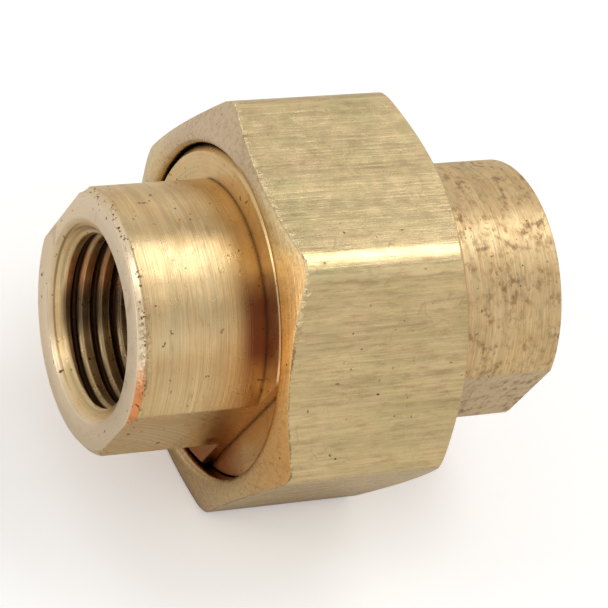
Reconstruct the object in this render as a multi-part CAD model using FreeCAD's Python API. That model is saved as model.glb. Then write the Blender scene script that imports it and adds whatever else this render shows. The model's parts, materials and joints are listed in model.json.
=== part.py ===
import FreeCAD, Part
import math
import os

# Brass pipe union, female by female, 1/4-18 NPT.  Millimetres.
# The fitting's axis is X.  The threaded body is at -X, the tailpiece at +X and the hex union nut
# sits in the middle.  The origin is on the axis, midway between the two rims of the nut.
# +Z is up: the nut rests on one of its flats.  The fitting is drawn fully tightened.

Vec = FreeCAD.Vector
X_AXIS = Vec(1, 0, 0)
INCH = 25.4
TAN30 = math.tan(math.radians(30))

# union nut: 1 inch hex with rounded corners
HEX_ACROSS = 25.4
HEX_CORNER_R = 2.1
NUT_RIM_X = 6.35              # both chamfers cross the middle of a flat at this distance
NUT_OPEN_FACE_X = -6.62       # end of the nut where the thread opens
NUT_OPEN_CONE = 0.39          # axial fall per radial mm of the broad cone at the open end
NUT_LIP_FACE_X = 6.58         # end of the nut where the lip is
NUT_LIP_CONE = 0.577          # axial fall per radial mm of the 30 degree chamfer at the lip end
NUT_MOUTH_R = 11.7            # chamfered edge of the bore at the open end
NUT_BORE_R = 11.25            # plain bore that swallows the body's shoulder
NUT_BORE_X = -4.4             # the bore ends here, and the thread starts
NUT_LIP_THICK = 2.38
NUT_LIP_HOLE_R = 8.95
NUT_RELIEF_R = 11.3
NUT_RELIEF_X = 2.2            # the thread ends here in an undercut
NUT_RUNOUT = 1.0              # how far the thread's groove runs on into the undercut
NUT_HOLE_CHAMFER = 0.3

# union thread, 7/8-14, right hand
UN_PITCH = INCH / 14
UN_PITCH_R = 10.523
UN_FLANK_GAP = 0.03           # taken off every flank, along the axis
UN_BODY_CREST_R = 11.05
UN_BODY_ROOT_R = 10.0
UN_NUT_CREST_R = 10.15
UN_NUT_ROOT_R = 11.2
UN_START_X = -5.2             # centre of the body's groove where it starts, at the bottom
UN_NUT_START_X = UN_START_X - 2.5 * UN_PITCH    # the nut's groove starts in the air, half a pitch out

# threaded body
BODY_END_X = -15.04
BODY_NECK_R = 8.85
BODY_SHOULDER_X = -6.2        # back face of the threaded part
BODY_FRONT_X = 1.5
BODY_END_CHAMFER = 0.43
BODY_BACK_CHAMFER = 0.45
BODY_FRONT_CHAMFER = 0.9
BODY_FLAT_ANGLE = 18.0        # normal of the wrench flats, from +Y towards +Z
BODY_FLAT_FAR = 7.6           # distance of the flat on the +Y side from the axis
BODY_FLAT_NEAR = 8.15         # distance of the flat on the -Y side: milled off centre
BODY_FAR_END_X = BODY_SHOULDER_X     # the +Y flat stops at the shoulder
BODY_NEAR_END_X = -5.3        # the -Y flat is milled on into the threaded part
SEAT_R = 9.0                  # wide end of the 45 degree seat cone

# tailpiece
TAIL_END_X = 15.66
TAIL_NECK_R = 8.72
TAIL_END_CHAMFER = 0.12
TAIL_FLANGE_R = 9.95
TAIL_FLANGE_X = 2.0
TAIL_FLANGE_GAP = 0.03        # between the flange and the nut's lip
TAIL_FLANGE_CHAMFER = 0.25
TAIL_FLAT_ANGLE = 16.0
TAIL_FLAT = 7.9
TAIL_FLAT_END_X = 7.0
BALL_CONTACT_R = 7.6          # circle where the ball nose meets the seat cone
BALL_GAP = 0.02               # left open along the axis at the seat
BALL_OUTER_R = 8.9
BALL_TIP_R = 6.2

# pipe ports, 1/4-18 NPT, the same at both ends
NPT_PITCH = INCH / 18
NPT_TAPER = 1.0 / 32          # radius lost per mm of depth
NPT_PITCH_R = 6.2435          # at the end face
NPT_HALF_DEPTH = 0.4 * NPT_PITCH
PORT_DRILL_R = 5.70
PORT_DEPTH = 10.5
PORT_THREAD_DEPTH = 9.6
PORT_MOUTH_R = 6.8
PORT_MOUTH_DEPTH = 0.85
WATERWAY_R = 5.2

# cutting tools
TOOL_REACH = 1.0              # they stand this far past the end faces they cut
CREST_REACH = 0.1             # a thread tool stands this far past the crests


def along_x(shape):
    """Turn a shape built round the Z axis so that Z becomes X."""
    shape.rotate(Vec(0, 0, 0), Vec(0, 1, 0), 90)
    return shape


def turned(points):
    """The solid swept out by a closed outline of (x, radius) points round the X axis."""
    corners = [Vec(x, 0, r) for x, r in points]
    outline = Part.makePolygon(corners + corners[:1])
    return Part.Face(outline).revolve(Vec(0, 0, 0), X_AXIS, 360)


def bar(x0, x1, radius):
    """A plain cylinder between two stations on the axis."""
    return Part.makeCylinder(radius, x1 - x0, Vec(x0, 0, 0), X_AXIS)


def groove(x0, x1, pitch, growth, profile):
    """A right-hand helical groove whose centre runs from x0 to x1.

    profile lists its (axial offset, radius) corners at x0; growth is the radius gained per mm of X.
    """
    radius = sum(r for _, r in profile) / len(profile)
    helix = Part.makeLongHelix(pitch, x1 - x0, radius, math.degrees(math.atan(growth)))
    corners = [Vec(r, 0, dx) for dx, r in profile]
    outline = Part.makePolygon(corners + corners[:1])
    sweep = Part.BRepOffsetAPI.MakePipeShell(Part.Wire(helix.Edges))
    sweep.setBiNormalMode(Vec(0, 0, 1))
    sweep.add(outline)
    sweep.build()
    sweep.makeSolid()
    solid = sweep.shape()
    solid.translate(Vec(0, 0, x0))
    return along_x(solid)


def vee(pitch, pitch_r, low_r, high_r, side, gap=0.0):
    """Corners of a 60 degree groove; side is +1 if it widens outwards and -1 if it widens inwards."""
    low = pitch / 4 + side * (low_r - pitch_r) * TAN30 + gap
    high = pitch / 4 + side * (high_r - pitch_r) * TAN30 + gap
    return [(-low, low_r), (low, low_r), (high, high_r), (-high, high_r)]


def past_flat(x0, x1, angle, distance):
    """The block beyond a wrench flat, to be cut away.  angle is the flat's normal."""
    block = Part.makeBox(x1 - x0, 4 * distance, distance, Vec(x0, -2 * distance, distance))
    block.rotate(Vec(0, 0, 0), X_AXIS, angle - 90)
    return block


def quarter_bars(x0, x1, radius):
    """A cylinder in four quarters, so that a strip of its wall left by a thread is a short face."""
    quarters = []
    for turn in range(4):
        quarter = Part.makeCylinder(radius, x1 - x0, Vec(x0, 0, 0), X_AXIS, 90)
        quarter.rotate(Vec(0, 0, 0), X_AXIS, 90 * turn)
        quarters.append(quarter)
    return quarters


def pipe_port(end_x, inward):
    """Everything cut away for one pipe port.  inward is +1 or -1 along X."""
    outside = end_x - inward * TOOL_REACH
    mouth = end_x + inward * PORT_MOUTH_DEPTH
    back = end_x + inward * PORT_DEPTH
    drill = quarter_bars(min(mouth, back), max(mouth, back), PORT_DRILL_R)
    slope = (PORT_MOUTH_R - PORT_DRILL_R) / PORT_MOUTH_DEPTH
    countersink = turned([
        (outside, 0),
        (outside, PORT_MOUTH_R + slope * TOOL_REACH),
        (mouth, PORT_DRILL_R),
        (mouth, 0),
    ])
    ends = sorted([end_x - inward * NPT_PITCH, end_x + inward * PORT_THREAD_DEPTH])
    pitch_r = NPT_PITCH_R - NPT_TAPER * inward * (ends[0] - end_x)
    profile = vee(NPT_PITCH, pitch_r, pitch_r - NPT_HALF_DEPTH, pitch_r + NPT_HALF_DEPTH, -1)
    thread = groove(ends[0], ends[1], NPT_PITCH, -inward * NPT_TAPER, profile)
    return drill + [countersink, thread]


def cut_all(shape, tools):
    for tool in tools:
        shape = shape.cut(tool)
    return shape.Solids[0]


def threaded_body():
    """Round neck with a pipe port, wrench flats, the outside union thread and the seat cone."""
    shape = turned([
        (BODY_END_X, 0),
        (BODY_END_X, BODY_NECK_R - BODY_END_CHAMFER),
        (BODY_END_X + BODY_END_CHAMFER, BODY_NECK_R),
        (BODY_SHOULDER_X, BODY_NECK_R),
        (BODY_SHOULDER_X, UN_BODY_CREST_R - BODY_BACK_CHAMFER),
        (BODY_SHOULDER_X + BODY_BACK_CHAMFER, UN_BODY_CREST_R),
        (BODY_FRONT_X - BODY_FRONT_CHAMFER, UN_BODY_CREST_R),
        (BODY_FRONT_X, UN_BODY_CREST_R - BODY_FRONT_CHAMFER),
        (BODY_FRONT_X, 0),
    ])
    beyond = BODY_FRONT_X + TOOL_REACH
    seat = turned([
        (BODY_FRONT_X - SEAT_R, 0),
        (beyond, SEAT_R + TOOL_REACH),
        (beyond, 0),
    ])
    waterway = bar(BODY_END_X, beyond, WATERWAY_R)
    profile = vee(UN_PITCH, UN_PITCH_R, UN_BODY_ROOT_R, UN_BODY_CREST_R + CREST_REACH, 1, UN_FLANK_GAP)
    thread = groove(UN_START_X, BODY_FRONT_X + UN_PITCH, UN_PITCH, 0, profile)
    before = BODY_END_X - TOOL_REACH
    flats = [
        past_flat(before, BODY_FAR_END_X, BODY_FLAT_ANGLE, BODY_FLAT_FAR),
        past_flat(before, BODY_NEAR_END_X, BODY_FLAT_ANGLE - 180, BODY_FLAT_NEAR),
    ]
    return cut_all(shape, [seat, waterway] + pipe_port(BODY_END_X, 1) + [thread] + flats)


def tailpiece():
    """Ball nose, flange held by the nut's lip, round neck with wrench flats and a pipe port."""
    ball_r = BALL_CONTACT_R * math.sqrt(2)
    contact_x = BODY_FRONT_X - (SEAT_R - BALL_CONTACT_R)
    centre_x = contact_x + BALL_CONTACT_R + BALL_GAP
    tip_x = centre_x - math.sqrt(ball_r ** 2 - BALL_TIP_R ** 2)
    lip_x = NUT_LIP_FACE_X - NUT_LIP_THICK
    back_x = lip_x - TAIL_FLANGE_GAP
    neck = turned([
        (TAIL_FLANGE_X, 0),
        (TAIL_FLANGE_X, TAIL_FLANGE_R - TAIL_FLANGE_CHAMFER),
        (TAIL_FLANGE_X + TAIL_FLANGE_CHAMFER, TAIL_FLANGE_R),
        (back_x - TAIL_FLANGE_CHAMFER, TAIL_FLANGE_R),
        (back_x, TAIL_FLANGE_R - TAIL_FLANGE_CHAMFER),
        (back_x, TAIL_NECK_R),
        (TAIL_END_X - TAIL_END_CHAMFER, TAIL_NECK_R),
        (TAIL_END_X, TAIL_NECK_R - TAIL_END_CHAMFER),
        (TAIL_END_X, 0),
    ])
    ball = Part.makeSphere(ball_r, Vec(centre_x, 0, 0))
    nose = ball.common(bar(tip_x, back_x, BALL_OUTER_R))
    shape = neck.fuse(nose).removeSplitter()
    waterway = bar(tip_x - TOOL_REACH, TAIL_END_X, WATERWAY_R)
    beyond = TAIL_END_X + TOOL_REACH
    flats = [
        past_flat(TAIL_FLAT_END_X, beyond, TAIL_FLAT_ANGLE, TAIL_FLAT),
        past_flat(TAIL_FLAT_END_X, beyond, TAIL_FLAT_ANGLE - 180, TAIL_FLAT),
    ]
    return cut_all(shape, [waterway] + pipe_port(TAIL_END_X, -1) + flats)


def union_nut():
    """Hex nut: union thread open at -X, undercut, and a lip at +X that draws the tailpiece in."""
    corner_r = HEX_ACROSS / 2 / math.cos(math.radians(30))
    length = NUT_LIP_FACE_X - NUT_OPEN_FACE_X
    turns = [math.radians(60 * i) for i in range(7)]
    corners = [Vec(NUT_OPEN_FACE_X, corner_r * math.cos(a), corner_r * math.sin(a)) for a in turns]
    prism = Part.Face(Part.makePolygon(corners)).extrude(Vec(length, 0, 0))
    long_edges = [e for e in prism.Edges if abs(e.tangentAt(e.FirstParameter).x) > 0.99]
    prism = prism.makeFillet(HEX_CORNER_R, long_edges)
    flat_r = HEX_ACROSS / 2
    outer_r = corner_r + TOOL_REACH
    open_r = flat_r - (NUT_OPEN_FACE_X + NUT_RIM_X) / -NUT_OPEN_CONE
    lip_r = flat_r - (NUT_LIP_FACE_X - NUT_RIM_X) / NUT_LIP_CONE
    envelope = turned([
        (NUT_OPEN_FACE_X, 0),
        (NUT_OPEN_FACE_X, open_r),
        (NUT_OPEN_FACE_X + (outer_r - open_r) * NUT_OPEN_CONE, outer_r),
        (NUT_LIP_FACE_X - (outer_r - lip_r) * NUT_LIP_CONE, outer_r),
        (NUT_LIP_FACE_X, lip_r),
        (NUT_LIP_FACE_X, 0),
    ])
    lip_x = NUT_LIP_FACE_X - NUT_LIP_THICK
    mouth_x = NUT_OPEN_FACE_X + NUT_MOUTH_R - NUT_BORE_R
    thread_x = NUT_BORE_X + NUT_BORE_R - UN_NUT_CREST_R
    inside = turned([
        (NUT_OPEN_FACE_X - TOOL_REACH, 0),
        (NUT_OPEN_FACE_X - TOOL_REACH, NUT_MOUTH_R + TOOL_REACH),
        (mouth_x, NUT_BORE_R),
        (NUT_BORE_X, NUT_BORE_R),
        (thread_x, UN_NUT_CREST_R),
        (NUT_RELIEF_X, UN_NUT_CREST_R),
        (NUT_RELIEF_X, NUT_RELIEF_R),
        (lip_x, NUT_RELIEF_R),
        (lip_x, NUT_LIP_HOLE_R),
        (NUT_LIP_FACE_X - NUT_HOLE_CHAMFER, NUT_LIP_HOLE_R),
        (NUT_LIP_FACE_X + TOOL_REACH, NUT_LIP_HOLE_R + NUT_HOLE_CHAMFER + TOOL_REACH),
        (NUT_LIP_FACE_X + TOOL_REACH, 0),
    ])
    profile = vee(UN_PITCH, UN_PITCH_R, UN_NUT_CREST_R - CREST_REACH, UN_NUT_ROOT_R, -1, UN_FLANK_GAP)
    thread = groove(UN_NUT_START_X, NUT_RELIEF_X + NUT_RUNOUT, UN_PITCH, 0, profile)
    return cut_all(prism.common(envelope), [inside, thread])


os.makedirs("parts", exist_ok=True)
PIECES = {
    "threaded_body": threaded_body(),
    "union_nut": union_nut(),
    "tailpiece": tailpiece(),
}
for name, shape in PIECES.items():
    print(name, "valid", shape.isValid(), "volume", round(shape.Volume, 1), "faces", len(shape.Faces))
    shape.exportStep("parts/" + name + ".step")
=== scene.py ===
import json
import math

import bpy
import numpy as np
from mathutils import Matrix, Vector


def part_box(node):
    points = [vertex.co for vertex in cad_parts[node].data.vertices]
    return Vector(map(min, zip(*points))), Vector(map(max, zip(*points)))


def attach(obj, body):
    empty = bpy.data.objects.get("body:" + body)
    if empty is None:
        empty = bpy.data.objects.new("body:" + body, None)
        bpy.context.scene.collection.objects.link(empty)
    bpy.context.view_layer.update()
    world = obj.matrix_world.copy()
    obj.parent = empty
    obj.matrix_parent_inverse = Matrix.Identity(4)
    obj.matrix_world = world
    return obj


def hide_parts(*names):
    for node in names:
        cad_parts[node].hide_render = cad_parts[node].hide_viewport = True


# Brass pipe union: finished meshes, materials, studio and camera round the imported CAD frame.
# Sizes are in millimetres in the CAD frame (X along the fitting, +Z up); meshes are built in metres.
# Every piece is a closed outline of (x, radius) swept round the X axis.  The outline may change with
# the angle, which is how wrench flats, the hexagon and the threads come about.

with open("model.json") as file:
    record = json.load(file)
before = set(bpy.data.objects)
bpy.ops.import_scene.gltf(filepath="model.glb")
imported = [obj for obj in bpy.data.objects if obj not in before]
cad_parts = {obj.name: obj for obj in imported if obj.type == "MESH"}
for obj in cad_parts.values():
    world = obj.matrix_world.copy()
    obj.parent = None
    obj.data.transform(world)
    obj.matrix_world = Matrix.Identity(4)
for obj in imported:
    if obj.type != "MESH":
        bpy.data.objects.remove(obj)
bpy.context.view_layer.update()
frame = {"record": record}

MM = 0.001
TAN30 = math.tan(math.radians(30))
INCH = 25.4


def box_mm(node):
    lo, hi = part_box(node)
    return lo / MM, hi / MM


body_lo, body_hi = box_mm("threaded_body")
nut_lo, nut_hi = box_mm("union_nut")
tail_lo, tail_hi = box_mm("tailpiece")
mounts = {mount["name"]: mount for mount in frame["record"]["mounts"]}

# union nut
HEX_HALF = (nut_hi.z - nut_lo.z) / 2
HEX_CORNER_R = 2.1
NUT_OPEN_X = nut_lo.x
NUT_LIP_X = nut_hi.x
NUT_OPEN_FACE_R = 12.0        # the open end's flat ring reaches this radius, then the cone starts
NUT_OPEN_CONE = 0.39
NUT_LIP_FACE_R = 12.3
NUT_LIP_CONE = 0.577
NUT_BORE_R = 11.15            # plain bore that swallows the body's shoulder
NUT_BORE_X = -4.4             # the bore ends here, and the thread starts
NUT_MOUTH_LENGTH = 0.6        # the bore's edge is rounded over this length of the axis
NUT_MOUTH_STEPS = 10
NUT_PLAIN_BORE = 0.3          # no thread rings this close to the rounded mouth
NUT_LIP_THICK = 2.38
NUT_LIP_INNER_X = NUT_LIP_X - NUT_LIP_THICK
NUT_LIP_HOLE_R = 8.95
NUT_HOLE_CHAMFER = 0.3
NUT_EDGE_ROUND = 0.1
NUT_RELIEF_R = 11.3
NUT_RELIEF_X = 2.2

# union thread, 7/8-14
UN_PITCH = INCH / 14
UN_PITCH_R = 10.523
UN_FLANK_GAP = 0.03
UN_BODY_CREST_R = 11.05
UN_BODY_ROOT_R = 10.0
UN_NUT_CREST_R = 10.15
UN_NUT_ROOT_R = 11.12

# threaded body
BODY_END_X = body_lo.x
BODY_FRONT_X = body_hi.x
BODY_NECK_R = 8.85
BODY_SHOULDER_X = -6.2
BODY_END_CHAMFER = 0.43
BODY_BACK_CHAMFER = 0.45
BODY_FRONT_CHAMFER = 0.9
BODY_FAR_FLAT = (18.0, 7.6)   # a wrench flat: angle of its normal, distance from the axis
BODY_NEAR_FLAT = (-162.0, 8.15)
BODY_NEAR_END_X = -5.3        # the near flat is milled on into the threaded part
SEAT_R = 9.0
UN_BODY_START_X = -5.2        # centre of the body's groove where it starts, at the bottom
UN_RUN_IN = 0.12 * UN_PITCH   # the groove reaches its full depth over this advance
UN_NUT_START_X = UN_BODY_START_X - 2.5 * UN_PITCH

# tailpiece
TAIL_END_X = tail_hi.x
TAIL_TIP_X = tail_lo.x
TAIL_NECK_R = 8.72
TAIL_END_CHAMFER = 0.12
TAIL_FLANGE_R = tail_hi.z
TAIL_FLANGE_X = 2.0
TAIL_FLANGE_GAP = 0.03        # between the flange and the nut's lip
TAIL_FLANGE_BACK_X = NUT_LIP_INNER_X - TAIL_FLANGE_GAP
TAIL_FLANGE_ROUND = 0.2
TAIL_FLATS = ((16.0, 7.9), (-164.0, 7.9))
TAIL_FLAT_END_X = 7.0
BALL_OUTER_R = 8.9
BALL_TIP_R = 6.2
BALL_CONTACT_R = 7.6          # circle where the ball nose meets the 45 degree seat
BALL_R = BALL_CONTACT_R * math.sqrt(2)
BALL_STEPS = 24

# pipe ports, 1/4-18 NPT
NPT_PITCH = INCH / 18
NPT_TAPER = 1.0 / 32
PORT_DRILL_R = mounts["body_pipe_port"]["dims"]["r_mm"]
PORT_MOUTH_R = 6.8
PORT_MOUTH_DEPTH = 0.85
PORT_DEPTH = 10.5
PORT_THREAD_DEPTH = 9.6
PORT_GROOVE_HALF = 0.4        # half width of the groove between two worn, broad crests
PORT_ROOT_R = 6.25            # bottom of the groove at the end face
PORT_CREST_ROUND = 0.2
WATERWAY_R = 5.2

# mesh density
COLUMNS = 540
ANGLES = np.arange(COLUMNS) * (2 * math.pi / COLUMNS)
EDGE_ROUND = 0.07
EDGE_STEPS = 4
EDGE_SHARE = 0.4              # a rounding takes no more than this share of a neighbouring stretch
GUARD_GAP = 0.04              # from a rounding to its guard ring
GUARD_SHARE = 0.45
CREASE = 0.0
SHARP_ANGLE = math.radians(40)
OPEN_R = 100.0                # stands for no limit on the radius
FLAT_ROUND = 0.05             # rounding where a wrench flat meets a round face
THREAD_CREST_ROUND = 0.06
THREAD_ROOT_ROUND = 0.1


# ---------------------------------------------------------------- outline tools


def smooth_min(a, b, width):
    """The smaller of a and b, with the corner between them rounded over width."""
    near = np.maximum(width - np.abs(a - b), 0) / width
    return np.minimum(a, b) - near * near * width / 4


def smooth_max(a, b, width):
    return -smooth_min(-np.asarray(a), -np.asarray(b), width)


def ring(x, r):
    """One ring of an outline: x and radius at every angle."""
    return np.stack([np.broadcast_to(x, ANGLES.shape), np.broadcast_to(r, ANGLES.shape)]).astype(float)


def flats_limit(flats):
    """Radius at which the wrench flats cut every angle; each flat is (angle of its normal, distance)."""
    limit = np.full(ANGLES.shape, OPEN_R)
    for normal, distance in flats:
        across = np.cos(ANGLES - math.radians(normal))
        reach = np.where(across > 0.05, distance / np.maximum(across, 0.05), OPEN_R)
        limit = np.minimum(limit, reach)
    return limit


def towards(point, other):
    """Unit directions and distances from point to other, ring by ring."""
    step = other - point
    length = np.sqrt((step * step).sum(axis=0))
    return step / np.maximum(length, 1e-9), length


def rounded(corners, size=EDGE_ROUND):
    """Rings along an open outline whose corners are rounded off.

    Each corner is (x, r) or (x, r, rounding); CREASE as the rounding leaves a sharp corner.  A guard
    ring on each side keeps the shading of the faces next to a rounding flat.
    """
    points = [ring(corner[0], corner[1]) for corner in corners]
    rings = [points[0]]
    for index in range(1, len(points) - 1):
        here = points[index]
        radius = corners[index][2] if len(corners[index]) > 2 else size
        back, back_length = towards(here, points[index - 1])
        ahead, ahead_length = towards(here, points[index + 1])
        reach = np.minimum(radius, EDGE_SHARE * np.minimum(back_length, ahead_length))
        guard = np.minimum(reach + GUARD_GAP, GUARD_SHARE * np.minimum(back_length, ahead_length))
        rings.append(here + back * guard)
        for t in np.linspace(0, 1, EDGE_STEPS + 1 if radius > 0 else 1):
            rings.append(here + back * reach * (1 - t) ** 2 + ahead * reach * t ** 2)
        rings.append(here + ahead * guard)
    rings.append(points[-1])
    return rings


def helix_rings(x_from, x_to, pitch, start_x, per_pitch, radius_at):
    """Rings that follow a right-hand thread whose groove centre passes start_x at the bottom.

    radius_at(x, dx) gives the radius at station x, dx beyond the centre of the nearest groove.
    """
    low, high = min(x_from, x_to), max(x_from, x_to)
    lead = pitch * (ANGLES + math.pi / 2) / (2 * math.pi)
    first = math.floor((low - start_x) / pitch) - 2
    last = math.ceil((high - start_x) / pitch) + 1
    rings = []
    for step in range(first * per_pitch, last * per_pitch):
        x = start_x + step * pitch / per_pitch + lead
        if x.max() + pitch < low or x.min() - pitch > high:
            continue
        x = np.clip(x, low, high)
        dx = (x - start_x - lead + pitch / 2) % pitch - pitch / 2
        rings.append(ring(x, radius_at(x, dx)))
    if x_from > x_to:
        rings.reverse()
    return rings


def sweep_mesh(name, sections):
    """A closed mesh from sections of rings.

    A section is (rings, shift): a threaded section joins up with itself shift rings further on when
    it has gone once round.
    """
    rings = []
    spans = []
    for section, shift in sections:
        spans.append((len(rings), len(rings) + len(section) - 1, shift))
        rings.extend(section)
    grid = np.array(rings)
    radius = grid[:, 1, :]
    points = np.stack([grid[:, 0, :], radius * np.cos(ANGLES), radius * np.sin(ANGLES)], axis=-1)
    flat = np.round(points.reshape(-1, 3), 5)
    unique, index = np.unique(flat, axis=0, return_inverse=True)
    index = index.reshape(len(rings), COLUMNS)

    quads = []
    upper = np.arange(len(rings))
    following = (upper + 1) % len(rings)
    quads.append(np.stack([
        index[upper, :-1], index[upper, 1:], index[following, 1:], index[following, :-1],
    ], axis=-1).reshape(-1, 4))
    for low, high, shift in spans:
        here = np.arange(low - abs(shift), high + abs(shift))
        last_a = index[np.clip(here, low, high), -1]
        last_b = index[np.clip(here + 1, low, high), -1]
        first_a = index[np.clip(here + shift, low, high), 0]
        first_b = index[np.clip(here + shift + 1, low, high), 0]
        quads.append(np.stack([last_a, first_a, first_b, last_b], axis=-1))
        last, first = index[[high, (high + 1) % len(rings)]][:, [-1, 0]].T
        quads.append(np.array([[last[0], first[0], first[1], last[1]]]))
    faces = []
    for quad in np.concatenate(quads).tolist():
        kept = [v for k, v in enumerate(quad) if v != quad[k - 1]]
        if len(set(kept)) == len(kept) and len(kept) > 2:
            faces.append(kept)
    mesh = bpy.data.meshes.new(name)
    mesh.from_pydata((unique * MM).tolist(), [], faces)
    mesh.validate()
    mesh.shade_smooth()
    mesh.set_sharp_from_angle(angle=SHARP_ANGLE)
    piece = bpy.data.objects.new(name, mesh)
    bpy.context.scene.collection.objects.link(piece)
    return piece


# ---------------------------------------------------------------- threads


def groove_out(dx):
    """Radius of the body's outside thread at distance dx from its groove's centre."""
    flank = UN_PITCH_R + (np.abs(dx) - UN_PITCH / 4 - UN_FLANK_GAP) / TAN30
    crested = smooth_min(flank, UN_BODY_CREST_R, THREAD_CREST_ROUND)
    return smooth_max(crested, UN_BODY_ROOT_R, THREAD_ROOT_ROUND)


def groove_in(dx):
    """Radius of the nut's inside thread at distance dx from its groove's centre."""
    flank = UN_PITCH_R + (UN_PITCH / 4 + UN_FLANK_GAP - np.abs(dx)) / TAN30
    rooted = smooth_min(flank, UN_NUT_ROOT_R, THREAD_ROOT_ROUND)
    return smooth_max(rooted, UN_NUT_CREST_R, THREAD_CREST_ROUND)


def port_radius(x, dx, end_x, inward):
    """Radius of a pipe port: drilled hole, taper thread and countersink, whichever is widest."""
    depth = (x - end_x) * inward
    flank = PORT_DRILL_R + (PORT_GROOVE_HALF - np.abs(dx)) / TAN30
    thread = smooth_min(flank, PORT_ROOT_R - NPT_TAPER * depth, 0.08)
    thread = np.where(depth < PORT_THREAD_DEPTH, thread, PORT_DRILL_R)
    cone = PORT_MOUTH_R - depth * (PORT_MOUTH_R - PORT_DRILL_R) / PORT_MOUTH_DEPTH
    return smooth_max(smooth_max(thread, PORT_DRILL_R, PORT_CREST_ROUND), cone, 0.05)


PORT_PER_PITCH = 24
UN_PER_PITCH = 16


def port_rings(end_x, inward):
    """Rings of a pipe port from its bottom out to its mouth."""
    start_x = end_x - NPT_PITCH if inward > 0 else end_x - PORT_THREAD_DEPTH
    return helix_rings(
        end_x + inward * PORT_DEPTH, end_x, NPT_PITCH, start_x, PORT_PER_PITCH,
        lambda x, dx: port_radius(x, dx, end_x, inward),
    )


# ---------------------------------------------------------------- pieces


def threaded_body():
    limit = flats_limit((BODY_FAR_FLAT, BODY_NEAR_FLAT))
    notch = flats_limit((BODY_NEAR_FLAT,))
    end_r = smooth_min(BODY_NECK_R - BODY_END_CHAMFER, limit, FLAT_ROUND)
    neck_r = smooth_min(BODY_NECK_R, limit, FLAT_ROUND)

    def thread_r(x, dx):
        run_in = np.clip((x - dx - UN_BODY_START_X) / UN_RUN_IN, 0, 1)
        thread = UN_BODY_CREST_R + (groove_out(dx) - UN_BODY_CREST_R) * run_in
        chamfer = UN_BODY_CREST_R - (x - (BODY_FRONT_X - BODY_FRONT_CHAMFER))
        return smooth_min(thread, chamfer, 0.08)

    def ring_r(x, dx):
        chamfered = UN_BODY_CREST_R - BODY_BACK_CHAMFER + (x - BODY_SHOULDER_X)
        return smooth_min(smooth_min(thread_r(x, dx), chamfered, 0.05), notch, 0.03)

    back = helix_rings(BODY_SHOULDER_X, BODY_NEAR_END_X, UN_PITCH, UN_BODY_START_X, UN_PER_PITCH, ring_r)
    thread = helix_rings(BODY_NEAR_END_X, BODY_FRONT_X, UN_PITCH, UN_BODY_START_X, UN_PER_PITCH, thread_r)
    port = port_rings(BODY_END_X, 1)
    end = rounded([
        (port[-1][0], port[-1][1]),
        (BODY_END_X, end_r),
        (BODY_END_X + BODY_END_CHAMFER, neck_r),
        (BODY_SHOULDER_X, neck_r, CREASE),
        (back[0][0], back[0][1]),
    ])[1:-1]
    front = rounded([
        (thread[-1][0], thread[-1][1]),
        (BODY_FRONT_X, SEAT_R),
        (BODY_FRONT_X - (SEAT_R - WATERWAY_R), WATERWAY_R),
        (BODY_END_X + PORT_DEPTH, WATERWAY_R, CREASE),
        (port[0][0], port[0][1]),
    ])[1:-1]
    return sweep_mesh("threaded_body_brass", [
        (end, 0), (back, UN_PER_PITCH), (thread, UN_PER_PITCH), (front, 0), (port, -PORT_PER_PITCH),
    ])


def tailpiece():
    limit = flats_limit(TAIL_FLATS)
    end_r = smooth_min(TAIL_NECK_R - TAIL_END_CHAMFER, limit, FLAT_ROUND)
    neck_r = smooth_min(TAIL_NECK_R, limit, FLAT_ROUND)
    port = port_rings(TAIL_END_X, -1)
    centre_x = TAIL_TIP_X + math.sqrt(BALL_R ** 2 - BALL_TIP_R ** 2)
    ball_r = np.linspace(BALL_TIP_R, BALL_OUTER_R, BALL_STEPS)
    ball = [ring(centre_x - math.sqrt(BALL_R ** 2 - r ** 2), r) for r in ball_r]
    nose = rounded([
        (port[0][0], port[0][1]),
        (TAIL_END_X - PORT_DEPTH, WATERWAY_R, CREASE),
        (TAIL_TIP_X, WATERWAY_R),
        (TAIL_TIP_X, BALL_TIP_R),
    ])[1:-1]
    outside = rounded([
        (ball[-1][0], ball[-1][1]),
        (TAIL_FLANGE_X, BALL_OUTER_R, CREASE),
        (TAIL_FLANGE_X, TAIL_FLANGE_R, TAIL_FLANGE_ROUND),
        (TAIL_FLANGE_BACK_X, TAIL_FLANGE_R, TAIL_FLANGE_ROUND),
        (TAIL_FLANGE_BACK_X, TAIL_NECK_R, CREASE),
        (TAIL_FLAT_END_X, TAIL_NECK_R, 0.04),
        (TAIL_FLAT_END_X, neck_r, CREASE),
        (TAIL_END_X - TAIL_END_CHAMFER, neck_r),
        (TAIL_END_X, end_r),
        (port[-1][0], port[-1][1]),
    ])[1:-1]
    port.reverse()
    return sweep_mesh("tailpiece_brass", [(nose + ball + outside, 0), (port, -PORT_PER_PITCH)])


def hexagon():
    """Radius of the rounded hexagon at every angle; one flat faces +Z."""
    turn = ANGLES % math.radians(60)
    from_corner = np.minimum(turn, math.radians(60) - turn)
    from_flat = math.radians(30) - from_corner
    flat = HEX_HALF / np.cos(from_flat)
    centre = (HEX_HALF - HEX_CORNER_R) / math.cos(math.radians(30))
    inside_corner = np.maximum(HEX_CORNER_R ** 2 - (centre * np.sin(from_corner)) ** 2, 0)
    arc = centre * np.cos(from_corner) + np.sqrt(inside_corner)
    edge = math.atan(math.tan(math.radians(30)) * (HEX_HALF - HEX_CORNER_R) / HEX_HALF)
    return np.where(from_flat < edge, flat, arc)


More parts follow.
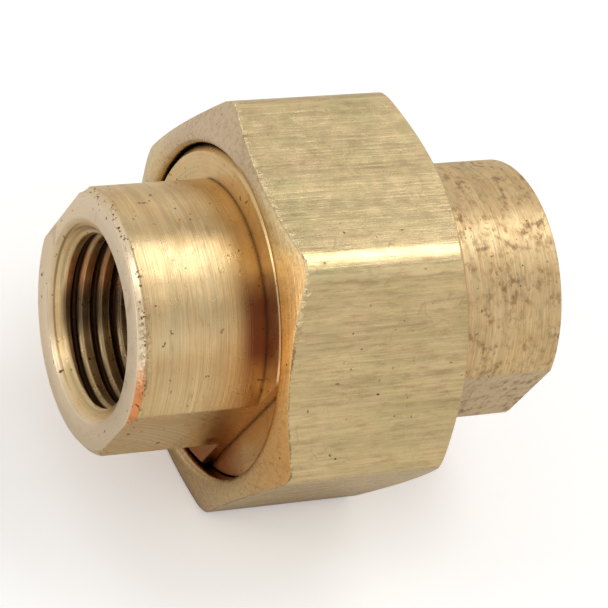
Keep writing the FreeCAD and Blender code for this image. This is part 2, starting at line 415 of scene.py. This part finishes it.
def union_nut():
    hex_r = hexagon()
    open_x = NUT_OPEN_X + (hex_r - NUT_OPEN_FACE_R) * NUT_OPEN_CONE
    lip_x = NUT_LIP_X - (hex_r - NUT_LIP_FACE_R) * NUT_LIP_CONE

    def thread_r(x, dx):
        bore = smooth_min(NUT_BORE_R - (x - NUT_BORE_X), NUT_BORE_R, 0.04)
        return smooth_max(groove_in(dx), bore, 0.04)

    mouth_x = NUT_OPEN_X + NUT_MOUTH_LENGTH
    plain_x = mouth_x + NUT_PLAIN_BORE
    thread = helix_rings(NUT_RELIEF_X, plain_x, UN_PITCH, UN_NUT_START_X, UN_PER_PITCH, thread_r)
    mouth = []
    for t in np.linspace(0, math.pi / 2, NUT_MOUTH_STEPS):
        mouth.append(ring(mouth_x - NUT_MOUTH_LENGTH * math.sin(t),
                          NUT_OPEN_FACE_R - (NUT_OPEN_FACE_R - NUT_BORE_R) * math.cos(t)))
    outside = rounded([
        (mouth[-1][0], mouth[-1][1]),
        (open_x, hex_r, NUT_EDGE_ROUND),
        (lip_x, hex_r, NUT_EDGE_ROUND),
        (NUT_LIP_X, NUT_LIP_FACE_R, NUT_EDGE_ROUND),
        (NUT_LIP_X, NUT_LIP_HOLE_R + NUT_HOLE_CHAMFER),
        (NUT_LIP_X - NUT_HOLE_CHAMFER, NUT_LIP_HOLE_R),
        (NUT_LIP_INNER_X, NUT_LIP_HOLE_R),
        (NUT_LIP_INNER_X, NUT_RELIEF_R, CREASE),
        (NUT_RELIEF_X, NUT_RELIEF_R, CREASE),
        (thread[0][0], thread[0][1]),
    ])[1:-1]
    return sweep_mesh("union_nut_brass", [(mouth + outside, 0), (thread, -UN_PER_PITCH)])


# ---------------------------------------------------------------- materials


def colour(red, green, blue):
    return (red, green, blue, 1.0)


class Graph:
    """A short way to write the nodes of a material or a world."""

    def __init__(self, owner):
        owner.use_nodes = True
        self.tree = owner.node_tree
        self.tree.nodes.clear()

    def add(self, kind, inputs=None, output=0, **settings):
        made = self.tree.nodes.new("ShaderNode" + kind)
        for key, value in settings.items():
            setattr(made, key, value)
        for key, value in (inputs or {}).items():
            if isinstance(value, bpy.types.NodeSocket):
                self.tree.links.new(value, made.inputs[key])
            else:
                made.inputs[key].default_value = value
        return made.outputs[output]

    def math(self, operation, a, b=0.0):
        return self.add("Math", {0: a, 1: b}, operation=operation)

    def product(self, a, b):
        return self.math("MULTIPLY", a, b)

    def sum(self, a, b):
        return self.math("ADD", a, b)

    def larger(self, a, b):
        return self.math("MAXIMUM", a, b)

    def where(self, *masks):
        """The product of any number of masks and strengths."""
        result = masks[0]
        for mask in masks[1:]:
            result = self.product(result, mask)
        return result

    def vector(self, x, y, z):
        return self.add("CombineXYZ", {0: x, 1: y, 2: z})

    def split(self, vector):
        made = self.tree.nodes.new("ShaderNodeSeparateXYZ")
        self.tree.links.new(vector, made.inputs[0])
        return made.outputs

    def noise(self, vector, scale=1.0, detail=2.0, roughness=0.5, distortion=0.0):
        return self.add("TexNoise", {
            "Vector": vector, "Scale": scale, "Detail": detail, "Roughness": roughness,
            "Distortion": distortion,
        })

    def between(self, value, low, high, to_low=0.0, to_high=1.0):
        """value remapped from low..high to to_low..to_high, clamped."""
        return self.add("MapRange", {
            "Value": value, "From Min": low, "From Max": high, "To Min": to_low, "To Max": to_high,
        })

    def blend(self, factor, a, b):
        """A number between a and b."""
        return self.add("Mix", {"Factor": factor, 2: a, 3: b})

    def mix(self, factor, a, b):
        """A colour between a and b."""
        return self.add("Mix", {"Factor": factor, 6: a, 7: b}, output=2, data_type="RGBA")

    def cover(self, tone, over, *masks):
        """tone covered by the colour over, as strongly as the product of the masks."""
        return self.mix(self.where(*masks), tone, over)

    def shade(self, tone, amount):
        """tone made brighter or darker by the number amount."""
        grey = self.vector(amount, amount, amount)
        return self.add("Mix", {"Factor": 1.0, 6: tone, 7: grey}, output=2,
                        data_type="RGBA", blend_type="MULTIPLY")

    def bump(self, height, depth, normal=None):
        """Surface relief: height 0..1 stands depth millimetres high."""
        inputs = {"Height": height, "Distance": depth * MM}
        if normal is not None:
            inputs["Normal"] = normal
        return self.add("Bump", inputs)

    def finish(self, shader, kind="OutputMaterial"):
        output = self.tree.nodes.new("ShaderNode" + kind)
        self.tree.links.new(shader, output.inputs["Surface"])


BRASS = colour(0.86, 0.66, 0.365)
BRASS_WARM = colour(0.80, 0.56, 0.28)
BRASS_PALE = colour(0.97, 0.83, 0.66)
BRASS_OLIVE = colour(0.73, 0.60, 0.31)
BRASS_GREY_AND_SHADE = colour(0.70, 0.59, 0.42)
GOLD_REFLECTION = colour(0.92, 0.60, 0.20)
MAROON_REFLECTION = colour(0.25, 0.085, 0.045)
COPPER_REFLECTION = colour(0.95, 0.36, 0.12)
AMBER_REFLECTION = colour(0.84, 0.46, 0.15)
PINK_REFLECTION = colour(0.75, 0.59, 0.43)
BRASS_SHADE = colour(0.60, 0.48, 0.28)
BURR_HIGHLIGHT = colour(0.98, 0.80, 0.46)
RECESS_SHADE = colour(0.50, 0.20, 0.07)
TARNISH_AND_SHADE = colour(0.34, 0.19, 0.10)
DIRT_AND_SHADE = colour(0.07, 0.035, 0.02)
ANISOTROPY = 0.45
ANISOTROPY_TURN = 0.25        # a quarter turn: the tool lines run round the axis
LINE_SHADE = (0.78, 1.15)     # darkest and brightest tone of the tool lines
MILL_LEAD = 6.0               # the face mill's centre passed this far beyond the end of the neck
MILL_OFFSET = 14.0            # and this far to the side
BODY_OUTER_R = 7.6            # the body's flats and round faces all lie at or beyond this radius
BODY_CHAMFER_R = BODY_NECK_R - BODY_END_CHAMFER
MAROON_REFLECTION_ANGLE = 138.0            # direction of the darkest part of the painted maroon reflection, from +Y towards +Z
NOTCH_ANGLE = -115.0          # direction of the shaded piece of shoulder below the near flat
RIM_TOP_Z = 10.0              # the nut's torn edge gets a painted highlight above this height
TORN = 7.0                    # how much rougher the torn edge of the nut is than its drawn flats
PORT_SHADE_ANGLE = 318.0            # direction of the darkest side of the painted shade in the ports
PORT_OUTER_X = -BODY_END_X    # distance of the ports' mouths from the middle, near enough for the painted shade
SHADE_LINE_R = 6.38                # a painted line of shade runs round the countersink here
SHADE_LINE_ANGLE = 335.0
RECESS_REACH = 4.0            # how far a surface looks round for neighbours that shade it
CREASE_REACH = 0.5            # painted shade darkens this close to an inner corner
AO_SAMPLES = 6
LINE_DEPTH = 0.034
GRAIN_DEPTH = 0.006
PIT_DEPTH = 0.005


class Surface:
    """Where a shading point is: position in millimetres, radius, and which way it faces."""

    def __init__(self, graph):
        self.graph = graph
        where = graph.add("TexCoord", output="Object")
        self.position = graph.add("VectorMath", {0: where, "Scale": 1 / MM}, operation="SCALE")
        self.x, self.y, self.z = graph.split(self.position)
        squares = graph.sum(graph.product(self.y, self.y), graph.product(self.z, self.z))
        self.radius = graph.math("SQRT", squares)
        self.normal_x, self.normal_y, self.normal_z = graph.split(graph.add("TexCoord", output="Normal"))
        self.end_face = graph.between(graph.math("ABSOLUTE", self.normal_x), 0.5, 0.8)

    def along(self, angle):
        """Distance from the axis towards an angle, from +Y towards +Z."""
        turn = math.radians(angle)
        return self.graph.sum(self.graph.product(self.y, math.cos(turn)),
                              self.graph.product(self.z, math.sin(turn)))

    def towards(self, angle, narrow, wide):
        """1 where the point lies round the axis within narrow degrees of angle, 0 beyond wide."""
        share = self.graph.math("DIVIDE", self.along(angle), self.radius)
        return self.graph.between(share, math.cos(math.radians(wide)), math.cos(math.radians(narrow)))

    def on_flat(self, angle):
        """1 on a flat whose normal has this angle, or its opposite."""
        turn = math.radians(angle)
        facing = self.graph.sum(self.graph.product(self.normal_y, math.cos(turn)),
                                self.graph.product(self.normal_z, math.sin(turn)))
        return self.graph.between(self.graph.math("ABSOLUTE", facing), 0.9985, 0.9995)

    def stretched(self, per_x, per_y, per_z, seed=0.0):
        """Texture space with this many features per millimetre along each axis."""
        g = self.graph
        return g.vector(g.sum(g.product(self.x, per_x), seed), g.sum(g.product(self.y, per_y), 2 * seed),
                        g.sum(g.product(self.z, per_z), 3 * seed))


def turned_lines(graph, at, per_mm=11.0):
    """Fine circular tool lines, along the axis on round faces and along the radius on end faces."""
    across = graph.blend(at.end_face, at.x, at.radius)
    layers = []
    for lines_per_mm, wander in ((per_mm, 0.14), (1.7, 0.07)):
        layers.append(graph.vector(graph.product(across, lines_per_mm), graph.product(at.y, wander),
                                   graph.product(at.z, wander)))
    return graph.blend(0.3, graph.noise(layers[0], 1.0, 3.0, 0.7), graph.noise(layers[1], 1.0, 2.0))


def drawn_lines(graph, at):
    """Streaks along the bar, as left by the drawing die."""
    fine = graph.noise(at.stretched(0.16, 6.0, 6.0), 1.0, 4.0, 0.65)
    broad = graph.noise(at.stretched(0.06, 1.3, 1.3, 4.0), 1.0, 3.0, 0.6)
    return graph.blend(0.5, fine, broad)


def milled_arcs(graph, at, flat_angle, centre_x):
    """Wide arcs left on a wrench flat by a face mill whose centre passed beyond the flat's edge."""
    across = graph.sum(at.along(flat_angle + 90), MILL_OFFSET)
    along = graph.sum(at.x, -centre_x)
    reach = graph.math("SQRT", graph.sum(graph.product(along, along), graph.product(across, across)))
    return graph.noise(graph.vector(graph.product(reach, 4.5), 0.0, 0.0), 1.0, 3.0, 0.6)


def nicks(graph, at, scale, level, seed):
    """Small irregular dents and specks, 0 to 1, gathered in patches.  level nearer 1 leaves fewer."""
    shape = graph.noise(at.stretched(scale, scale, scale, seed), 1.0, 2.0, 0.5, 0.15)
    patch = graph.noise(at.stretched(0.3 * scale, 0.3 * scale, 0.3 * scale, seed + 5.0), 1.0, 1.0)
    return graph.product(graph.between(shape, level, level + 0.05), graph.between(patch, 0.46, 0.58))


def scratches(graph, at, per_x, per_y, per_z, seed, width=0.035):
    """Broken hairlines, long along the axis that has the fewest features per millimetre."""
    wander = graph.noise(at.stretched(per_x, per_y, per_z, seed), 1.0, 1.0, 0.4)
    line = graph.between(graph.math("ABSOLUTE", graph.sum(wander, -0.5)), width, 0.3 * width)
    patch = graph.noise(at.stretched(0.35, 0.35, 0.35, seed + 2.0), 1.0, 2.0)
    return graph.product(line, graph.between(patch, 0.52, 0.62))


def in_port_bore(graph, at):
    return graph.between(at.radius, PORT_MOUTH_R + 0.15, PORT_MOUTH_R)


def port_shade(graph, at):
    """Painted shade down a pipe port, strongest in the thread grooves and on one side, with a line round
    the countersink.
    """
    from_middle = graph.math("ABSOLUTE", at.x)
    port_end = PORT_OUTER_X - PORT_DEPTH
    in_port = graph.where(in_port_bore(graph, at), graph.between(from_middle, port_end - 1.0, port_end))
    depth = graph.between(from_middle, PORT_OUTER_X - 2.0, PORT_OUTER_X - 6.0, 0.0, 0.45)
    groove = graph.between(at.radius, PORT_DRILL_R + 0.18, PORT_DRILL_R + 0.34)
    side = graph.product(at.towards(PORT_SHADE_ANGLE, 6, 22), 0.75)
    beyond_mouth = graph.between(from_middle, PORT_OUTER_X - 0.5, PORT_OUTER_X - 0.8)
    from_shade_line = graph.math("ABSOLUTE", graph.sum(at.radius, -SHADE_LINE_R))
    shade_line = graph.where(graph.between(from_shade_line, 0.1, 0.04), at.towards(SHADE_LINE_ANGLE, 35, 75), 0.6)
    deep = graph.where(graph.larger(depth, graph.larger(groove, side)), beyond_mouth)
    dark = graph.larger(graph.larger(deep, shade_line), graph.product(side, 0.3))
    return graph.where(dark, in_port)


def surroundings(graph, distance):
    """1 where nothing stands within distance millimetres of the surface, less near other faces."""
    inputs = {"Distance": distance * MM}
    return graph.add("AmbientOcclusion", inputs, output="AO", samples=AO_SAMPLES)


def shaded_tone(graph, at, tone):
    """Painted shade: deeper colour in recesses, darkening in inner corners and down the ports."""
    # painted shade in recesses, weaker inside the ports
    recess = graph.between(surroundings(graph, RECESS_REACH), 0.15, 0.75, 0.45, 0.0)
    tone = graph.cover(tone, RECESS_SHADE, recess, graph.blend(in_port_bore(graph, at), 1.0, 0.15))
    # painted shade in inner corners
    tone = graph.cover(tone, DIRT_AND_SHADE, graph.between(surroundings(graph, CREASE_REACH), 0.45, 0.72, 0.9, 0.0))
    # painted shade down the ports
    return graph.cover(tone, DIRT_AND_SHADE, port_shade(graph, at))


def brass(name, base, dark, roughness, relief, marks, tint, turned):
    """Brass: clouded base colour, tool lines, dents and stains, and painted shade in the recesses.

    turned gives 1 where the tool lines run round the axis and 0 where they run along it.
    """
    material = bpy.data.materials.new(name)
    graph = Graph(material)
    at = Surface(graph)
    cloud = graph.noise(at.position, 0.3, 5.0, 0.65)
    lines = relief(graph, at)
    pits, stains, hairlines = marks(graph, at)

    tone = graph.mix(graph.between(cloud, 0.38, 0.66), base, dark)
    tone = graph.shade(tone, graph.between(lines, 0.34, 0.66, *LINE_SHADE))
    tone = tint(graph, at, tone)
    tone = graph.cover(tone, TARNISH_AND_SHADE, stains)
    tone = graph.cover(tone, TARNISH_AND_SHADE, hairlines, 0.25)
    tone = graph.cover(tone, DIRT_AND_SHADE, pits, 0.9)
    tone = shaded_tone(graph, at, tone)

    smear = graph.noise(at.position, 1.1, 3.0)
    rough = graph.between(smear, 0.3, 0.7, roughness - 0.05, roughness + 0.08)
    rough = graph.sum(rough, graph.product(graph.larger(pits, stains), 0.2))

    grain = graph.noise(at.position, 9.0, 3.0, 0.6)
    cuts = graph.larger(pits, graph.product(hairlines, 0.06))
    normal = graph.bump(lines, LINE_DEPTH)
    normal = graph.bump(grain, GRAIN_DEPTH, normal)
    normal = graph.bump(graph.math("SUBTRACT", 1.0, cuts), PIT_DEPTH, normal)

    shader = graph.add("BsdfPrincipled", {
        "Base Color": tone, "Metallic": 1.0, "Roughness": rough, "Normal": normal,
        "Anisotropic": ANISOTROPY,
        "Anisotropic Rotation": graph.product(turned(graph, at), ANISOTROPY_TURN),
        "Tangent": graph.add("Tangent", direction_type="RADIAL", axis="X"),
    })
    graph.finish(shader)
    return material


def all_round(graph, at):
    return 1.0


def only_ends(graph, at):
    return at.end_face


def body_relief(graph, at):
    """Turned all over, but milled on the wrench flats."""
    arcs = milled_arcs(graph, at, BODY_FAR_FLAT[0], BODY_END_X - MILL_LEAD)
    return graph.blend(at.on_flat(BODY_FAR_FLAT[0]), turned_lines(graph, at), arcs)


def painted_shoulder_reflections(graph, at, tone):
    """Painted reflections: the body's neck turns gold, and on one side amber and maroon, towards the
    shoulder; painted shade on the shoulder below the near flat.
    """
    outside = graph.where(graph.between(at.radius, BODY_OUTER_R - 0.2, BODY_OUTER_R),
                          graph.between(at.x, BODY_NEAR_END_X + 0.2, BODY_NEAR_END_X + 0.05))
    near_shoulder = graph.between(at.x, BODY_SHOULDER_X - 3.4, BODY_SHOULDER_X - 0.6)
    # painted reflections near the shoulder: gold all round, amber on one side, maroon on another
    tone = graph.cover(tone, GOLD_REFLECTION, near_shoulder, outside, graph.blend(at.end_face, 0.42, 0.12))
    tone = graph.cover(tone, AMBER_REFLECTION, near_shoulder, outside, at.towards(MAROON_REFLECTION_ANGLE + 40, 14, 45), 0.5)
    close = graph.between(at.x, BODY_SHOULDER_X - 2.2, BODY_SHOULDER_X - 1.0)
    past = graph.between(at.x, BODY_SHOULDER_X - 0.05, BODY_SHOULDER_X + 0.05, 0.95, 0.35)
    tone = graph.cover(tone, MAROON_REFLECTION, close, outside, at.towards(MAROON_REFLECTION_ANGLE, 10, 25), past)
    # painted shade on the shoulder face below the near flat
    return graph.cover(tone, RECESS_SHADE, at.end_face, near_shoulder, at.towards(NOTCH_ANGLE, 18, 36))


def body_tint(graph, at, tone):
    """Pale end face, with painted reflections: a red side of the port, gold, amber and maroon towards the
    shoulder, and a coppery glint on the end's chamfer.
    """
    at_end = graph.where(at.end_face, graph.between(at.x, BODY_END_X + 1.0, BODY_END_X + 0.9))
    past_mouth = graph.between(at.radius, PORT_MOUTH_R - 0.4, PORT_MOUTH_R)
    tone = graph.cover(tone, BRASS_PALE, at_end, past_mouth, 0.75)
    beyond_mouth = graph.between(at.x, BODY_END_X + 0.75, BODY_END_X + 0.95)
    below_root = graph.between(at.radius, PORT_ROOT_R + 0.1, PORT_ROOT_R - 0.05)
    # painted reflection: a red side of the port, below the thread's root
    tone = graph.cover(tone, COPPER_REFLECTION, in_port_bore(graph, at), at.towards(PORT_SHADE_ANGLE + 26, 10, 22),
                       beyond_mouth, below_root, 0.55)
    tone = painted_shoulder_reflections(graph, at, tone)
    chamfer_end = BODY_END_X + BODY_END_CHAMFER
    chamfer = graph.where(graph.between(at.x, chamfer_end + 0.05, chamfer_end),
                          graph.between(at.radius, BODY_CHAMFER_R, BODY_CHAMFER_R + 0.08))
    # painted glint: a coppery patch on one side of the end's chamfer
    return graph.cover(tone, COPPER_REFLECTION, chamfer, at.towards(170, 8, 22), 0.9)


def body_marks(graph, at):
    """Few small dents on the neck; a dense band of them along the end's chamfer."""
    sparse = nicks(graph, at, 2.2, 0.67, 3.0)
    edge = graph.where(graph.between(at.x, BODY_END_X + 0.85, BODY_END_X + 0.4),
                       graph.between(at.radius, BODY_CHAMFER_R, BODY_CHAMFER_R + 0.14))
    torn = graph.between(graph.noise(at.position, 4.0, 3.0, 0.7), 0.44, 0.56, 0.0, 0.45)
    band = graph.larger(graph.where(nicks(graph, at, 5.0, 0.56, 5.0), edge),
                        graph.where(edge, at.towards(MAROON_REFLECTION_ANGLE + 5, 12, 26), torn))
    stains = graph.between(graph.noise(at.position, 1.4, 4.0, 0.7), 0.62, 0.8, 0.0, 0.3)
    hairlines = scratches(graph, at, 2.4, 0.22, 0.22, 6.0)
    return graph.larger(sparse, band), stains, hairlines


def nut_rim(graph, at):
    """1 in a ragged band on the flats along the open end's chamfer."""
    from_cone = graph.sum(at.x, graph.product(graph.sum(at.radius, -NUT_OPEN_FACE_R), -NUT_OPEN_CONE))
    ragged = graph.between(graph.noise(at.position, 2.2, 3.0, 0.7), 0.35, 0.68, 0.02, 0.6)
    patch = graph.between(graph.noise(at.position, 0.55, 2.0), 0.4, 0.56, 0.25, 1.0)
    width = graph.where(ragged, patch, graph.between(at.z, RIM_TOP_Z - 3.0, RIM_TOP_Z, 0.3, 1.0))
    past = graph.math("SUBTRACT", graph.sum(from_cone, -NUT_OPEN_X), width)
    return graph.where(graph.between(past, 0.04, -0.04), graph.math("SUBTRACT", 1.0, at.end_face))


def nut_relief(graph, at):
    """Drawn flats and turned ends, torn along the open end's chamfer."""
    torn = graph.sum(graph.product(graph.sum(graph.noise(at.position, 3.6, 3.0, 0.7), -0.5), TORN), 0.5)
    flats = graph.blend(nut_rim(graph, at), drawn_lines(graph, at), torn)
    return graph.blend(at.end_face, flats, turned_lines(graph, at, 3.5))


def nut_tint(graph, at, tone):
    """Warm turned cones with painted reflections and shade round the axis, painted grey shade towards the
    bottom, and torn edges along the open end's chamfer, painted bright above and dark below.
    """
    tone = graph.cover(tone, BRASS, at.end_face, 0.8)
    # painted reflections and shade on the cones, by direction round the axis
    tone = graph.cover(tone, PINK_REFLECTION, at.end_face, at.towards(56, 24, 46), 0.85)
    tone = graph.cover(tone, BRASS_SHADE, at.end_face, at.towards(100, 12, 34), 0.6)
    # painted shade: greyer towards the bottom of the nut
    tone = graph.cover(tone, BRASS_GREY_AND_SHADE, graph.between(at.z, -4.0, -10.0), 0.35)
    tone = graph.cover(tone, AMBER_REFLECTION, at.end_face, at.towards(158, 18, 46), 0.92)
    rim = nut_rim(graph, at)
    upper = graph.between(at.z, RIM_TOP_Z - 2.5, RIM_TOP_Z)
    # painted highlight on the upper part of the torn edge
    tone = graph.cover(tone, BURR_HIGHLIGHT, rim, upper)
    # painted shade on the lower part of the torn edge
    return graph.cover(tone, TARNISH_AND_SHADE, rim, graph.math("SUBTRACT", 0.8, upper))


def nut_marks(graph, at):
    """A few specks, dull smears along the bar, long drawn scratches and some at a slant."""
    pits = nicks(graph, at, 2.4, 0.71, 7.0)
    smears = graph.noise(at.stretched(0.6, 2.8, 2.8, 17.0), 1.0, 5.0, 0.72)
    stains = graph.between(smears, 0.48, 0.72, 0.0, 0.5)
    drawn = scratches(graph, at, 0.06, 2.2, 2.2, 8.0, 0.05)
    slanted = scratches(graph, at, 0.9, 0.3, 0.45, 9.0, 0.02)
    return pits, stains, graph.larger(drawn, slanted)


def tail_relief(graph, at):
    """Turned all over, but milled on the wrench flats."""
    arcs = milled_arcs(graph, at, TAIL_FLATS[0][0], TAIL_END_X + MILL_LEAD)
    return graph.blend(at.on_flat(TAIL_FLATS[0][0]), turned_lines(graph, at), arcs)


def tail_tint(graph, at, tone):
    """Pale end face, and grey on the flats."""
    tone = graph.cover(tone, BRASS_PALE, at.end_face, 0.8)
    return graph.cover(tone, BRASS_GREY_AND_SHADE, at.on_flat(TAIL_FLATS[0][0]), 0.6)


def tail_marks(graph, at):
    """Brown stains of many sizes with ragged outlines, streaks round the axis and a few black pits."""
    pits = nicks(graph, at, 3.0, 0.68, 11.0)
    broad = graph.between(graph.noise(at.stretched(0.8, 0.8, 0.8, 12.0), 1.0, 2.0), 0.38, 0.62)
    spots = graph.between(graph.noise(at.stretched(2.0, 1.4, 1.4, 13.0), 1.0, 5.0, 0.7), 0.47, 0.62)
    streaks = graph.between(graph.noise(at.stretched(4.5, 0.9, 0.9, 14.0), 1.0, 4.0, 0.7), 0.54, 0.72)
    stains = graph.larger(graph.where(spots, broad), graph.product(streaks, 0.6))
    hairlines = scratches(graph, at, 2.4, 0.22, 0.22, 15.0)
    return pits, graph.product(stains, 0.8), hairlines


# ---------------------------------------------------------------- build


body = threaded_body()
nut = union_nut()
tail = tailpiece()

body.data.materials.append(brass(
    "turned_brass", BRASS, BRASS_WARM, 0.3, body_relief, body_marks, body_tint, all_round))
nut.data.materials.append(brass(
    "drawn_brass", BRASS, BRASS_OLIVE, 0.22, nut_relief, nut_marks, nut_tint, only_ends))
tail.data.materials.append(brass(
    "tarnished_brass", BRASS, BRASS_WARM, 0.43, tail_relief, tail_marks, tail_tint, all_round))

for piece, node, slot in (
    (body, "threaded_body", "body_brass"),
    (nut, "union_nut", "nut_brass"),
    (tail, "tailpiece", "tail_brass"),
):
    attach(piece, node)
    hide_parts(node)


# ---------------------------------------------------------------- floor, light and camera

FLOOR_Z = nut_lo.z
FLOOR_SIZE = 2000.0
GLOW = 0.95                   # painted light: extra glow off the floor on the -X side, standing in for a white card
GLOW_NEAR = 60.0
GLOW_FAR = 95.0
GLOW_SIDE = 45.0
GLOW_SIDE_END = 72.0
LIGHT_DISTANCE = 400.0
LIGHTS = (                    # name, azimuth, elevation, size, power
    ("key", 107, 62, 212, 0.325),
    ("side", 52, 58, 120, 0.05),
    ("left", -98, 27, 120, 0.15),
)


def pale_floor():
    """Near white where the camera sees it, greyer in reflections, so the metal keeps its depth."""
    material = bpy.data.materials.new("pale_floor")
    graph = Graph(material)
    seen = graph.add("LightPath", output="Is Camera Ray")
    tone = graph.mix(seen, colour(0.84, 0.81, 0.755), colour(0.95, 0.95, 0.95))
    paint = graph.add("BsdfDiffuse", {"Color": tone})
    across, along, _ = graph.split(graph.add("TexCoord", output="Object"))
    glow_patch = graph.between(across, -GLOW_NEAR * MM, -GLOW_FAR * MM, 0.0, GLOW)
    glow_patch = graph.product(glow_patch, graph.between(along, GLOW_SIDE * MM, GLOW_SIDE_END * MM, 1.0, 0.0))
    # painted light: the floor glows evenly for the camera, and in reflections in the patch on the -X side
    glow = graph.add("Emission", {"Strength": graph.blend(seen, glow_patch, 0.3)})
    graph.finish(graph.add("AddShader", {0: paint, 1: glow}))
    return material


def make_floor():
    half = FLOOR_SIZE / 2 * MM
    mesh = bpy.data.meshes.new("floor")
    corners = [(-half, -half, 0), (half, -half, 0), (half, half, 0), (-half, half, 0)]
    mesh.from_pydata(corners, [], [(0, 1, 2, 3)])
    floor = bpy.data.objects.new("floor", mesh)
    floor.location = (0, 0, FLOOR_Z * MM)
    bpy.context.scene.collection.objects.link(floor)
    mesh.materials.append(pale_floor())


def make_world():
    world = bpy.data.worlds.new("studio")
    bpy.context.scene.world = world
    graph = Graph(world)
    height = graph.split(graph.add("TexCoord", output="Generated"))[2]
    low = graph.between(height, 0.0, 0.3, 0.57, 0.79)
    strength = graph.sum(low, graph.between(height, 0.5, 0.75, 0.0, -0.30))
    warmth = graph.mix(graph.between(height, 0.0, 0.4), colour(1.0, 0.93, 0.83), colour(1.0, 0.99, 0.97))
    sky = graph.add("Background", {"Color": warmth, "Strength": strength})
    graph.finish(sky, "OutputWorld")


def soft_light(name, azimuth, elevation, size, power):
    """A square soft box aimed at the origin; size in millimetres, power in watts."""
    a, e = math.radians(azimuth), math.radians(elevation)
    back = Vector((math.sin(a) * math.cos(e), -math.cos(a) * math.cos(e), math.sin(e)))
    data = bpy.data.lights.new(name, "AREA")
    data.size = size * MM
    data.energy = power
    light = bpy.data.objects.new(name, data)
    light.location = back * LIGHT_DISTANCE * MM
    light.rotation_euler = (-back).to_track_quat("-Z", "Y").to_euler()
    bpy.context.scene.collection.objects.link(light)


CAMERA_AZIMUTH = -37.47
CAMERA_ELEVATION = 44.76
CAMERA_ROLL = 23.41
CAMERA_DISTANCE = 237.75
CAMERA_ACROSS = 0.66          # sideways offset of the view from the origin
CAMERA_UP = -0.03
CAMERA_LENS = 210.47


def make_camera():
    a, e, roll = (math.radians(v) for v in (CAMERA_AZIMUTH, CAMERA_ELEVATION, CAMERA_ROLL))
    back = Vector((math.sin(a) * math.cos(e), -math.cos(a) * math.cos(e), math.sin(e)))
    right = Vector((math.cos(a), math.sin(a), 0))
    up = back.cross(right)
    tilted_right = right * math.cos(roll) + up * math.sin(roll)
    tilted_up = up * math.cos(roll) - right * math.sin(roll)
    where = back * CAMERA_DISTANCE + tilted_right * CAMERA_ACROSS + tilted_up * CAMERA_UP
    data = bpy.data.cameras.new("camera")
    data.lens = CAMERA_LENS
    data.sensor_width = 36.0
    data.clip_start = 0.01
    camera = bpy.data.objects.new("camera", data)
    turn = Matrix((tilted_right, tilted_up, back)).transposed()
    camera.matrix_world = Matrix.Translation(where * MM) @ turn.to_4x4()
    bpy.context.scene.collection.objects.link(camera)
    bpy.context.scene.camera = camera


make_floor()
make_world()
for light in LIGHTS:
    soft_light(*light)
make_camera()
bpy.context.scene.view_settings.view_transform = "Standard"
